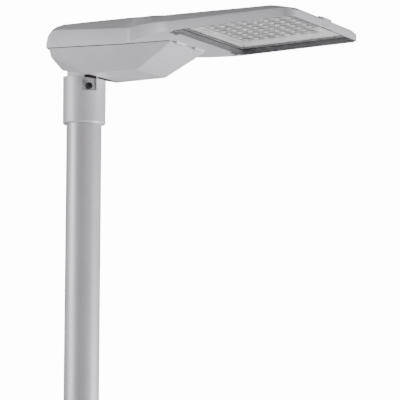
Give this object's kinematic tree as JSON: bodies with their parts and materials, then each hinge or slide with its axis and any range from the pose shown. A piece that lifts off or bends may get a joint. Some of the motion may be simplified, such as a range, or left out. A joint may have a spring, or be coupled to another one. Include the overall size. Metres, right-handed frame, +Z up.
{
  "type": "street lamp",
  "caption": "Post-top LED street lamp: a flat tilting luminaire with a lower gear cover and a hinged front glass, on a round steel column with a service door",
  "frame": {"origin": "centre of the column's foot on the ground, on the pole's axis and at the base plate's underside", "axes": "+Z up along the pole; +X from the pole towards the luminaire's tip; +Y across the luminaire; the service door faces -Y"},
  "size_m": [0.7303, 0.324, 3.1185],
  "materials": {
    "column_coat": "satin",
    "lamp_coat": "satin",
    "frame_coat": "satin",
    "steel": "satin",
    "dark_steel": "satin",
    "aluminium": "matte",
    "brass": "satin",
    "board": "matte",
    "board_white": "matte",
    "phosphor": "matte",
    "mask": "matte",
    "lens": "gloss",
    "glass": "gloss",
    "rubber": "matte",
    "cable": "matte",
    "black_plastic": "matte",
    "white_plastic": "matte"
  },
  "bodies": {
    "column": {"base_plate": "column_coat", "base_gussets": "column_coat", "base_tube": "column_coat", "shoulder": "column_coat", "shaft": "column_coat", "hinge_brackets": "column_coat", "door_hinge_pins": "steel", "backboard": "board", "backboard_bolts": "steel", "cutout_box": "black_plastic", "earth_stud": "brass", "supply_lead": "cable", "lead_grommet": "rubber", "spigot_adapter": "lamp_coat", "clamp_screws": "dark_steel"},
    "door_leaf": {"door": "column_coat", "door_lock_barrel": "steel"},
    "door_cam": {"lock_cam": "dark_steel"},
    "fuse": {"fuse_carrier": "black_plastic"},
    "luminaire": {"upper_housing": "lamp_coat", "rear_cowl": "lamp_coat", "pivot_bolt": "steel", "pivot_nut": "steel", "toothed_discs": "steel", "cover_gasket": "rubber", "gear_plate": "steel", "gear_plate_screws": "steel", "driver": "white_plastic", "surge_protector": "white_plastic", "terminal_block": "white_plastic", "cord_grip": "black_plastic", "mains_lead": "cable", "led_lead": "cable", "heat_spreader": "aluminium", "led_boards": "board_white", "led_chips": "phosphor", "lens_plates": "lens", "optic_mask": "mask", "mask_screws": "steel", "frame_hinge_pins": "steel", "cover_hinge_pins": "steel", "cover_clips": "steel", "latch_pin": "steel"},
    "cover": {"gear_cover": "lamp_coat"},
    "front": {"glass_frame": "frame_coat", "glass": "glass", "glass_seal": "rubber"},
    "latch": {"latch_lever": "lamp_coat"}
  },
  "joints": [
    {"name": "luminaire_tilt", "type": "hinge", "parent": "column", "child": "luminaire", "pos_m": [0, 0, 3.038], "axis": [0, -1, 0], "range_deg": [0, 15]},
    {"name": "gear_cover_hinge", "type": "hinge", "parent": "luminaire", "child": "cover", "pos_m": [0.259, 0, 3.0595], "axis": [0, -1, 0], "range_deg": [0, 60]},
    {"name": "front_glass_hinge", "type": "hinge", "parent": "luminaire", "child": "front", "pos_m": [0.29386, 0, 3.06639], "axis": [0, 1, 0], "range_deg": [0, 85]},
    {"name": "front_latch_hinge", "type": "hinge", "parent": "luminaire", "child": "latch", "pos_m": [0.5724, 0, 3.08815], "axis": [0, -1, 0], "range_deg": [0, 70]},
    {"name": "door_hinge", "type": "hinge", "parent": "column", "child": "door_leaf", "pos_m": [-0.04697, -0.04199, 0.6], "axis": [0, 0, -1], "range_deg": [0, 110]},
    {"name": "door_lock_turn", "type": "hinge", "parent": "door_leaf", "child": "door_cam", "pos_m": [0.02409, -0.05166, 0.6], "axis": [0.4226, -0.9063, 0], "range_deg": [-90, 0]},
    {"name": "fuse_carrier_slide", "type": "slide", "parent": "column", "child": "fuse", "axis": [0, -1, 0], "range_m": [0, 0.02]}
  ]
}
